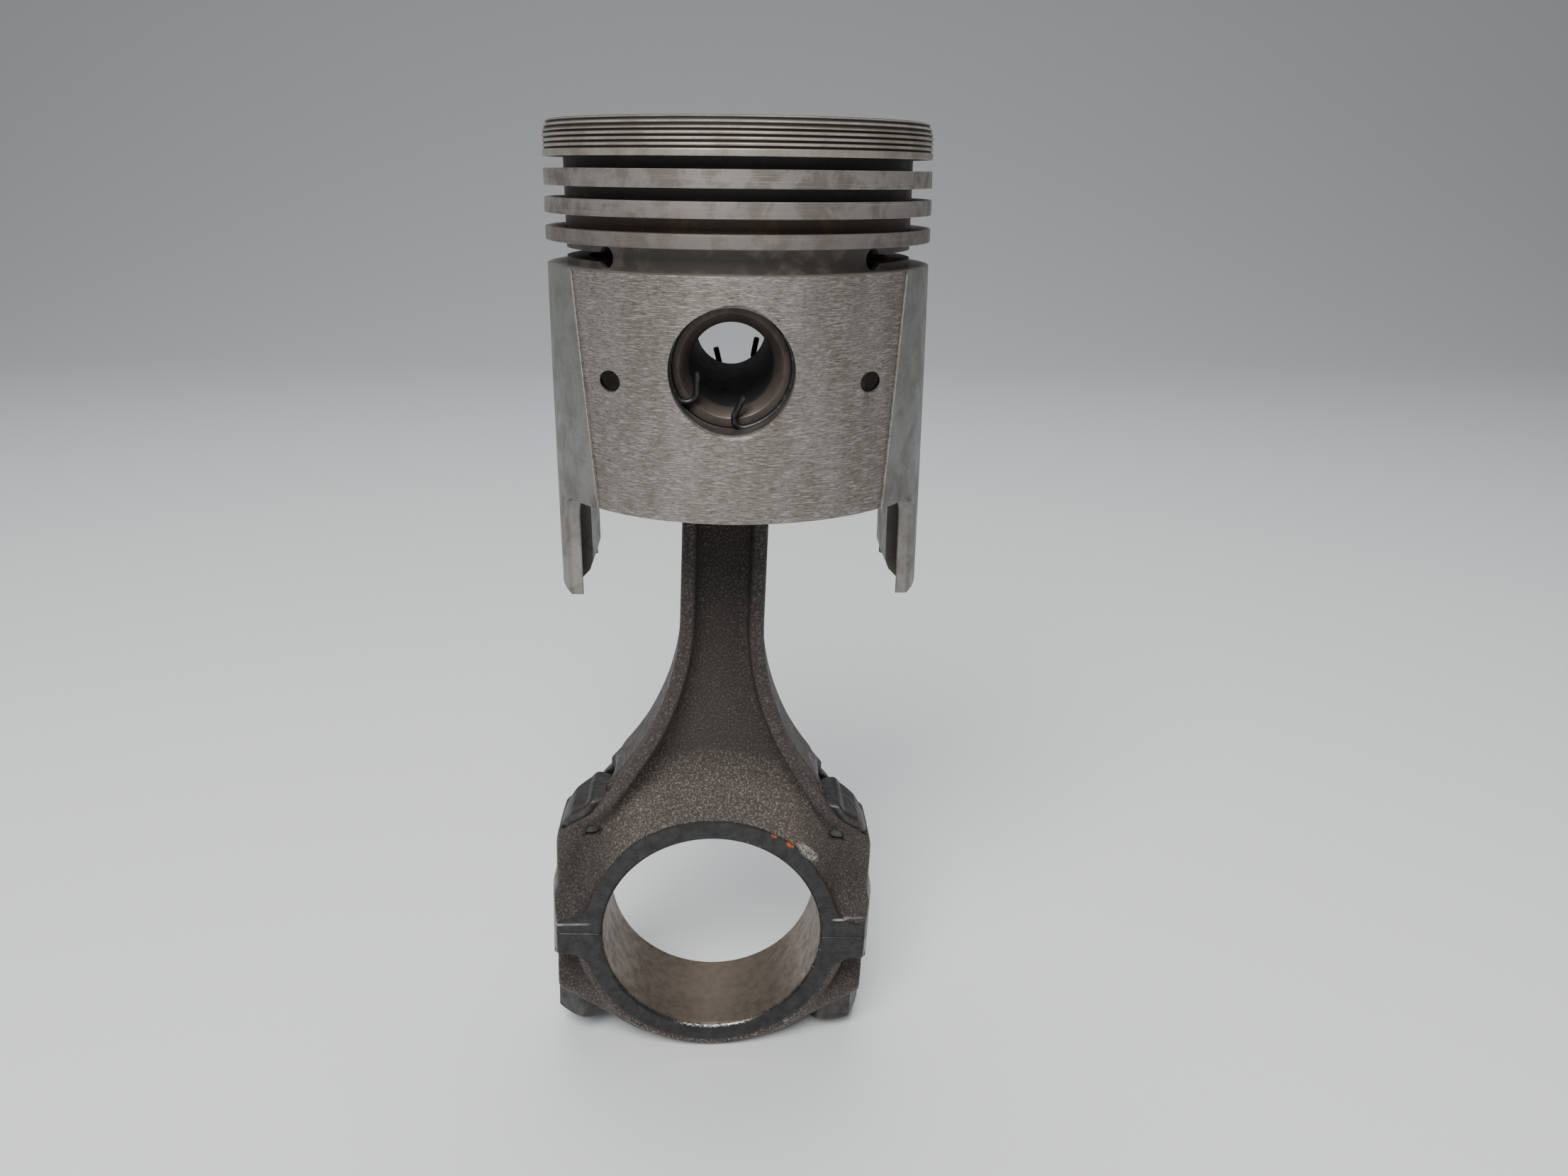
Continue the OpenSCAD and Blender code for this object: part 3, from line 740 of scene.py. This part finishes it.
# ------------------------------------------------------------------ materials
class Paint:
    """A material and short names for its nodes. Positions are in mm from centre, in the row frame.

    Each material below is a function in which p is its Paint.
    """

    def __init__(self, name, centre=(0, 0, 0)):
        self.mat = bpy.data.materials.new(name)
        self.mat.use_nodes = True
        self.tree = self.mat.node_tree
        self.bsdf = self.tree.nodes["Principled BSDF"]
        coord = self.node("ShaderNodeTexCoord").outputs["Object"]
        scaled = self.vector("MULTIPLY", coord, (1 / MM,) * 3)
        self.pos = self.vector("SUBTRACT", scaled, tuple(centre))
        split = self.node("ShaderNodeSeparateXYZ")
        self.link(self.pos, split.inputs[0])
        self.x, self.y, self.z = split.outputs

    def node(self, kind):
        return self.tree.nodes.new(kind)

    def link(self, value, socket):
        if isinstance(value, bpy.types.NodeSocket):
            self.tree.links.new(value, socket)
        else:
            socket.default_value = value

    def math(self, op, a, b=0.0):
        n = self.node("ShaderNodeMath")
        n.operation = op
        self.link(a, n.inputs[0])
        self.link(b, n.inputs[1])
        return n.outputs[0]

    def vector(self, op, a, b):
        n = self.node("ShaderNodeVectorMath")
        n.operation = op
        self.link(a, n.inputs[0])
        self.link(b, n.inputs[1])
        return n.outputs[0]

    def band(self, value, lo, hi, soft=0.1):
        """1 where value is between lo and hi."""
        return self.times(self.rise(value, lo - soft, lo + soft), self.rise(value, hi + soft, hi - soft))

    def plus(self, a, b):
        return self.math("ADD", a, b)

    def minus(self, a, b):
        return self.math("SUBTRACT", a, b)

    def times(self, a, b):
        return self.math("MULTIPLY", a, b)

    def length(self, a, b):
        return self.math("SQRT", self.plus(self.times(a, a), self.times(b, b)))

    def rise(self, value, lo, hi, a=0.0, b=1.0):
        """a below lo, b above hi; lo may be the larger, which reverses the two."""
        n = self.node("ShaderNodeMapRange")
        n.interpolation_type = "SMOOTHSTEP" if hi > lo else "LINEAR"
        self.link(value, n.inputs["Value"])
        for key, v in (("From Min", lo), ("From Max", hi), ("To Min", a), ("To Max", b)):
            n.inputs[key].default_value = v
        return n.outputs[0]

    def noise(self, scale, detail=4.0, rough=0.55, stretch=None, distort=0.0):
        n = self.node("ShaderNodeTexNoise")
        place = self.vector("MULTIPLY", self.pos, stretch) if stretch else self.pos
        self.link(place, n.inputs["Vector"])
        n.inputs["Scale"].default_value = scale
        n.inputs["Detail"].default_value = detail
        n.inputs["Roughness"].default_value = rough
        n.inputs["Distortion"].default_value = distort
        return n.outputs["Fac"]

    def mix(self, fac, a, b):
        n = self.node("ShaderNodeMix")
        n.data_type = "RGBA"
        self.link(fac, n.inputs[0])
        for value, socket in ((a, n.inputs[6]), (b, n.inputs[7])):
            self.link(value if isinstance(value, bpy.types.NodeSocket) else (*value, 1.0), socket)
        return n.outputs[2]

    def attribute(self, name):
        n = self.node("ShaderNodeAttribute")
        n.attribute_name = name
        return n.outputs["Fac"]

    def pointiness(self):
        return self.node("ShaderNodeNewGeometry").outputs["Pointiness"]

    def bump(self, height, distance, strength=1.0, normal=None):
        n = self.node("ShaderNodeBump")
        n.inputs["Strength"].default_value = strength
        n.inputs["Distance"].default_value = distance * MM
        self.link(height, n.inputs["Height"])
        if normal is not None:
            self.link(normal, n.inputs["Normal"])
        return n.outputs[0]

    def set(self, **sockets):
        names = {"color": "Base Color", "rough": "Roughness", "metal": "Metallic", "normal": "Normal"}
        for key, value in sockets.items():
            if key == "color" and not isinstance(value, bpy.types.NodeSocket):
                value = (*value, 1.0)
            self.link(value, self.bsdf.inputs[names[key]])

    def on(self, slot_name, *objects):
        for obj in objects:
            obj.data.materials.clear()
            obj.data.materials.append(self.mat)


def piston_alloy(*objects):
    """Grooves full of carbon, ground relief on the pin sides, smoother thrust sides."""
    p = Paint("piston_alloy", (AXIS_X, 0, CROWN))
    radius = p.length(p.x, p.y)
    depth = p.times(p.z, -1.0)
    side = p.math("ABSOLUTE", p.x)
    blotch = p.noise(0.06, 5, 0.6, (1, 1, 0.35))
    patch = p.noise(0.16, 6, 0.65, distort=0.4)
    fine = p.noise(1.4, 5, 0.7)
    grind = p.noise(1.0, 3, 0.6, (0.35, 0.35, 4.4))
    grind_fine = p.noise(1.0, 4, 0.7, (0.9, 0.9, 7.0))
    turned = p.noise(1.0, 3, 0.6, (0.05, 0.05, 6.0))

    relief_slope = (RELIEF_TOP_X - RELIEF_FOOT_X) / (SKIRT_FOOT - SKIRT_TOP)
    edge_x = p.minus(RELIEF_TOP_X, p.times(p.minus(depth, SKIRT_TOP), relief_slope))
    inset = p.minus(edge_x, side)
    relief = p.times(p.rise(inset, -0.05, 0.05), p.rise(depth, SKIRT_TOP - 0.2, SKIRT_TOP))
    ground = p.mix(p.rise(blotch, 0.38, 0.62), (0.25, 0.232, 0.212), (0.18, 0.16, 0.138))
    ground = p.mix(p.rise(patch, 0.54, 0.72, 0, 0.6), ground, (0.135, 0.112, 0.088))
    ground = p.mix(p.rise(grind, 0.46, 0.68, 0, 0.7), ground, (0.44, 0.42, 0.39))
    ground = p.mix(p.rise(grind_fine, 0.53, 0.34, 0, 0.85), ground, (0.06, 0.05, 0.043))
    thrust = p.mix(p.rise(patch, 0.35, 0.7), (0.235, 0.232, 0.22), (0.165, 0.16, 0.145))
    thrust = p.mix(p.rise(turned, 0.55, 0.7, 0, 0.35), thrust, (0.34, 0.335, 0.32))
    lands = p.mix(p.rise(patch, 0.42, 0.62), (0.29, 0.265, 0.24), (0.165, 0.143, 0.125))
    lands = p.mix(p.rise(turned, 0.52, 0.7, 0, 0.5), lands, (0.42, 0.39, 0.36))
    lands = p.mix(p.rise(depth, G2[0], OIL[0], 0, 0.45), lands, (0.12, 0.10, 0.09))
    sawn = p.mix(p.rise(patch, 0.35, 0.65), (0.17, 0.158, 0.145), (0.10, 0.088, 0.075))
    thrust = p.mix(p.rise(depth, SKIRT_FOOT - 12, SKIRT_FOOT + 6, 0, 0.75), thrust, sawn)
    below = p.rise(depth, SKIRT_TOP - 0.1, SKIRT_TOP + 0.1)
    color = p.mix(below, lands, p.mix(relief, thrust, ground))

    # Painted highlight: a bright thin line along the edge of the relief, where its small step meets the
    # thrust side.
    rim = p.times(p.band(inset, -0.25, 0.15, 0.08), p.rise(depth, SKIRT_TOP, SKIRT_TOP + 1))
    color = p.mix(p.times(rim, p.rise(fine, 0.3, 0.6, 0.2, 0.9)), color, (0.62, 0.59, 0.54))
    color = p.mix(p.rise(fine, 0.6, 0.76, 0, 0.6), color, (0.10, 0.082, 0.066))

    top_land = p.rise(depth, G1[0] + 0.1, G1[0] - 0.1)
    worn = p.mix(p.rise(patch, 0.3, 0.7), (0.42, 0.375, 0.32), (0.25, 0.215, 0.18))
    color = p.mix(p.times(top_land, 0.85), color, worn)
    untapered = p.plus(radius, p.rise(depth, 2.4, 0, 0, 0.9))
    inside_cut = p.rise(p.minus(untapered, LAND_R), -0.08, -0.24)
    color = p.mix(p.times(inside_cut, top_land), color, (0.035, 0.03, 0.026))

    groove = p.rise(radius, LAND_R - 0.25, LAND_R - 0.9)
    outside = p.rise(radius, ROOT_R - 1.2, ROOT_R - 0.6)
    for (top, foot), tint in ((G1, (0.018, 0.016, 0.015)), (G2, (0.022, 0.018, 0.016)),
                              (G3, (0.055, 0.036, 0.022)), (OIL, (0.075, 0.065, 0.055))):
        lively = p.mix(p.rise(patch, 0.45, 0.7), tint, tuple(min(1, c * 2.2) for c in tint))
        zone = p.times(p.band(depth, top, foot, 0.02), p.times(groove, outside))
        color = p.mix(zone, color, lively)

    # Painted shade: the inside of the piston, within the groove roots and inside the skirt, is painted dark.
    inner_skirt = p.times(p.rise(radius, INNER_R + 0.4, INNER_R), p.rise(depth, SKIRT_TOP + 1, SKIRT_TOP + 2))
    hollow_shade = p.math("MAXIMUM", p.rise(radius, ROOT_R - 0.6, ROOT_R - 1.4), inner_skirt)
    hollow_shade = p.times(hollow_shade, p.rise(depth, 0.5, 2.0))
    hollow_shade_color = p.mix(p.rise(patch, 0.4, 0.7), (0.065, 0.058, 0.05), (0.03, 0.025, 0.021))
    color = p.mix(hollow_shade, color, hollow_shade_color)
    # Painted shade: the walls of the small side holes are painted nearly black.
    hole_x = p.minus(side, SIDE_HOLE_X)
    hole_z = p.minus(depth, SIDE_HOLE_DEPTH)
    hole = p.length(hole_x, hole_z)
    hole = p.times(p.rise(hole, 2.5, 2.3), p.rise(radius, RELIEF_R - 0.2, RELIEF_R - 1.2))
    color = p.mix(hole, color, (0.012, 0.011, 0.010))

    bump = p.bump(p.times(grind, p.times(relief, below)), 0.12, 0.8)
    bump = p.bump(grind_fine, 0.03, 0.5, bump)
    bump = p.bump(fine, 0.04, 0.5, bump)
    p.set(color=color, rough=p.rise(patch, 0.3, 0.8, 0.38, 0.58),
          metal=p.rise(groove, 0.2, 0.8, 0.7, 0.1), normal=bump)
    p.on("piston_alloy", *objects)


def forged_steel(*objects):
    """Dark oily skin with painted glints for a shot-blasted sparkle, and plain grey where machined."""
    p = Paint("forged_steel")
    cut = p.attribute("machined")
    bore = p.attribute("bore")
    large = p.noise(0.07, 5, 0.6)
    medium = p.noise(0.35, 6, 0.65)
    grit = p.noise(2.0, 4, 0.75)
    skin = p.mix(p.rise(large, 0.35, 0.7), (0.038, 0.035, 0.034), (0.058, 0.051, 0.047))
    across = p.math("ABSOLUTE", p.x)
    from_bore = p.length(p.x, p.z)
    shoulder = p.times(p.rise(from_bore, 50, 42), p.rise(across, 30, 20))
    # Painted shade: the skin is painted darker towards the piston, which shades the upper beam, and lighter
    # lower down.
    skin = p.mix(p.rise(p.z, 125, 60, 0, 0.35), skin, (0.115, 0.095, 0.082))
    # Painted light: the bulge above the big end, which faces up towards the light, is painted lighter.
    skin = p.mix(p.times(shoulder, p.rise(p.z, 5, 20)), skin, (0.125, 0.108, 0.094))
    # Painted highlight: bright flecks stand for glints on the shot-blasted skin, and are thickest on the
    # bulge that faces the light.
    glint_amount = p.plus(0.3, p.times(shoulder, 0.5))
    skin = p.mix(p.times(glint_amount, p.rise(grit, 0.5, 0.64)), skin, (0.46, 0.41, 0.355))
    skin = p.mix(p.rise(grit, 0.44, 0.3, 0, 0.7), skin, (0.03, 0.024, 0.02))

    face = p.mix(p.rise(medium, 0.35, 0.7), (0.045, 0.043, 0.043), (0.026, 0.025, 0.026))
    bronze_stain = p.mix(p.rise(medium, 0.35, 0.7), (0.23, 0.185, 0.145), (0.14, 0.112, 0.088))
    face = p.mix(bore, face, bronze_stain)
    color = p.mix(cut, skin, face)
    edge = p.rise(p.pointiness(), 0.55, 0.68, 0, 0.3)
    color = p.mix(edge, color, (0.42, 0.39, 0.36))
    rough = p.plus(p.times(cut, -0.12), p.rise(medium, 0.3, 0.7, 0.42, 0.58))
    skin_bump = p.bump(p.times(grit, p.minus(1.0, cut)), 0.6, 1.0)

    def mark(centre, length, width, lean, noise_lo):
        """A worn paint mark on the front face: an ellipse turned by lean degrees, broken up by noise."""
        c, s = math.cos(math.radians(lean)), math.sin(math.radians(lean))
        dx, dz = p.minus(p.x, centre[0]), p.minus(p.z, centre[1])
        u = p.plus(p.times(dx, c / length), p.times(dz, s / length))
        v = p.plus(p.times(dx, -s / width), p.times(dz, c / width))
        inside = p.rise(p.plus(p.times(u, u), p.times(v, v)), 1.1, 0.5)
        inside = p.times(inside, p.rise(grit, noise_lo, noise_lo + 0.08))
        return p.times(inside, p.rise(p.y, -9, -11))

    color = p.mix(mark((25.2, 24.4), 4.2, 1.1, -46, 0.44), color, (0.50, 0.49, 0.42))
    color = p.mix(mark((20.6, 27.4), 1.3, 0.8, -38, 0.40), color, (0.42, 0.10, 0.035))
    color = p.mix(mark((16.4, 30.0), 1.0, 0.5, -30, 0.40), color, (0.36, 0.09, 0.035))

    # Bright lines: a painted highlight low on the rim of the bore, where its chamfer faces up towards the
    # light, and a worn line on the upper edge of each joint pad
    # Painted highlight on the front chamfer at the bottom of the bore.
    bore_lip_highlight = p.times(p.band(from_bore, BIG_R + 0.3, BIG_R + 0.8, 0.1), p.rise(p.z, -27.2, -28.6))
    bore_lip_highlight = p.times(bore_lip_highlight, p.rise(p.y, 2 - BIG_HALF_W, 1 - BIG_HALF_W))
    color = p.mix(p.times(bore_lip_highlight, p.rise(grit, 0.5, 0.56)), color, (0.5, 0.48, 0.45))
    ledge = p.times(p.band(p.z, 3.9, 4.5, 0.15), p.rise(across, 31.5, 33.5))
    ledge = p.times(ledge, p.rise(p.math("ABSOLUTE", p.y), BIG_HALF_W - 1.5, BIG_HALF_W - 0.8))
    color = p.mix(p.times(ledge, p.rise(medium, 0.4, 0.6, 0.3, 0.9)), color, (0.42, 0.40, 0.37))
    p.set(color=color, rough=rough, metal=0.75, normal=p.bump(medium, 0.08, 0.5, skin_bump))
    p.on("forged_steel", *objects)


def bolt_steel(*objects):
    p = Paint("bolt_steel")
    mottle = p.noise(0.4, 6, 0.65)
    p.set(color=p.mix(p.rise(mottle, 0.35, 0.7), (0.08, 0.077, 0.074), (0.045, 0.042, 0.04)),
          rough=p.rise(mottle, 0.3, 0.7, 0.4, 0.55), metal=0.8,
          normal=p.bump(p.noise(2.0, 5, 0.7), 0.05, 0.6))
    p.on("bolt_steel", *objects)


def pin_steel(*objects):
    """Brown and worn outside, and painted shade makes it nearly black in the bore."""
    p = Paint("pin_steel", PIN)
    stain = p.noise(0.3, 6, 0.65)
    # Painted shade: the bore of the tube is painted nearly black.
    shaded_bore = p.rise(p.length(p.x, p.z), 9.3, 8.95)
    outer = p.mix(p.rise(stain, 0.35, 0.7), (0.115, 0.092, 0.078), (0.072, 0.056, 0.047))
    p.set(color=p.mix(shaded_bore, outer, (0.012, 0.012, 0.014)),
          rough=p.plus(p.rise(stain, 0.3, 0.7, 0.36, 0.5), p.times(shaded_bore, 0.3)),
          metal=p.minus(0.5, p.times(shaded_bore, 0.4)),
          normal=p.bump(p.noise(2.0, 5, 0.7), 0.02, 0.5))
    p.on("pin_steel", *objects)


def spring_wire(*objects):
    p = Paint("spring_wire")
    scuff = p.noise(0.8, 5, 0.7)
    p.set(color=p.mix(p.rise(scuff, 0.5, 0.75), (0.035, 0.035, 0.038), (0.14, 0.13, 0.12)),
          rough=0.38, metal=0.8, normal=p.bump(p.noise(3.0, 4, 0.6), 0.02, 0.4))
    p.on("spring_wire", *objects)


def bronze(*objects):
    p = Paint("bronze")
    p.set(color=p.mix(p.noise(0.3, 5, 0.6), (0.42, 0.27, 0.12), (0.25, 0.15, 0.07)), rough=0.4, metal=0.9)
    p.on("bronze", *objects)


piston_alloy(piston)
forged_steel(rod, cap)
bolt_steel(*bolts, *nuts)
pin_steel(pin)
spring_wire(*circlips.values())
bronze(bush)

# ------------------------------------------------------------------ floor, light and camera, in metres
def coved_floor(low, front=-3.0, bend=1.2, bend_r=1.5, half_w=4.0, wall_h=3.5):
    """A pale floor that bends up into a back wall."""
    cove = [(bend + y, low + bend_r + z) for y, z in arc(0, 0, bend_r, -90, 0, 32)]
    section = [(front, low)] + cove + [(bend + bend_r, low + wall_h)]
    me = bpy.data.meshes.new("floor")
    bm = bmesh.new()
    rows = [[bm.verts.new((x, y, z)) for x in (-half_w, half_w)] for y, z in section]
    for a, b in zip(rows, rows[1:]):
        bm.faces.new((a[0], a[1], b[1], b[0])).smooth = True
    bm.to_mesh(me)
    bm.free()
    floor = bpy.data.objects.new("floor", me)
    bpy.context.scene.collection.objects.link(floor)
    floor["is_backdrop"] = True
    p = Paint("pale_floor")
    p.set(color=(0.74, 0.75, 0.76), rough=0.55, metal=0.0)
    floor.data.materials.append(p.mat)


def pale_world(color=(0.93, 0.96, 1.0, 1), strength=0.22):
    world = bpy.data.worlds.new("studio")
    world.use_nodes = True
    world.node_tree.nodes["Background"].inputs[0].default_value = color
    world.node_tree.nodes["Background"].inputs[1].default_value = strength
    bpy.context.scene.world = world


def soft_light(name, place, target, size, power):
    data = bpy.data.lights.new(name, "AREA")
    data.shape = "DISK"
    data.size = size
    data.energy = power
    lamp = bpy.data.objects.new(name, data)
    lamp.location = place
    lamp.rotation_euler = (Vector(target) - Vector(place)).to_track_quat("-Z", "Y").to_euler()
    bpy.context.scene.collection.objects.link(lamp)


def aimed_camera(place, pitch, yaw, roll, lens, sensor_width=36.0):
    """A camera looking along +Y, turned to the right by yaw, tipped down by pitch and rolled."""
    pitch, yaw, roll = (math.radians(a) for a in (pitch, yaw, roll))
    cam = bpy.data.cameras.new("camera")
    cam.sensor_width = sensor_width
    cam.lens = lens
    cam.clip_start = 0.01
    look = Vector((math.sin(yaw) * math.cos(pitch), math.cos(yaw) * math.cos(pitch), -math.sin(pitch)))
    right = Vector((math.cos(yaw), -math.sin(yaw), 0))
    up = right.cross(look)
    right, up = math.cos(roll) * right + math.sin(roll) * up, math.cos(roll) * up - math.sin(roll) * right
    camera = bpy.data.objects.new("camera", cam)
    camera.matrix_world = Matrix((
        (right.x, up.x, -look.x, place.x),
        (right.y, up.y, -look.y, place.y),
        (right.z, up.z, -look.z, place.z),
        (0, 0, 0, 1)))
    bpy.context.scene.collection.objects.link(camera)
    bpy.context.scene.camera = camera


coved_floor(min(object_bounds()[0].z, cad_box[0].z))
pale_world()
middle = Vector((AXIS_X, 0, PIN.z * 0.6)) * MM
soft_light("key", middle + Vector((-0.2, -0.8, 0.9)), middle, 0.8, 22)
soft_light("top", middle + Vector((0.0, 0.35, 1.2)), middle, 1.0, 10)
aimed_camera(Vector((AXIS_X - 2.33, -283.2, CROWN - 10.27)) * MM, 19.25, 2.724, 0.6165, 27.3255)
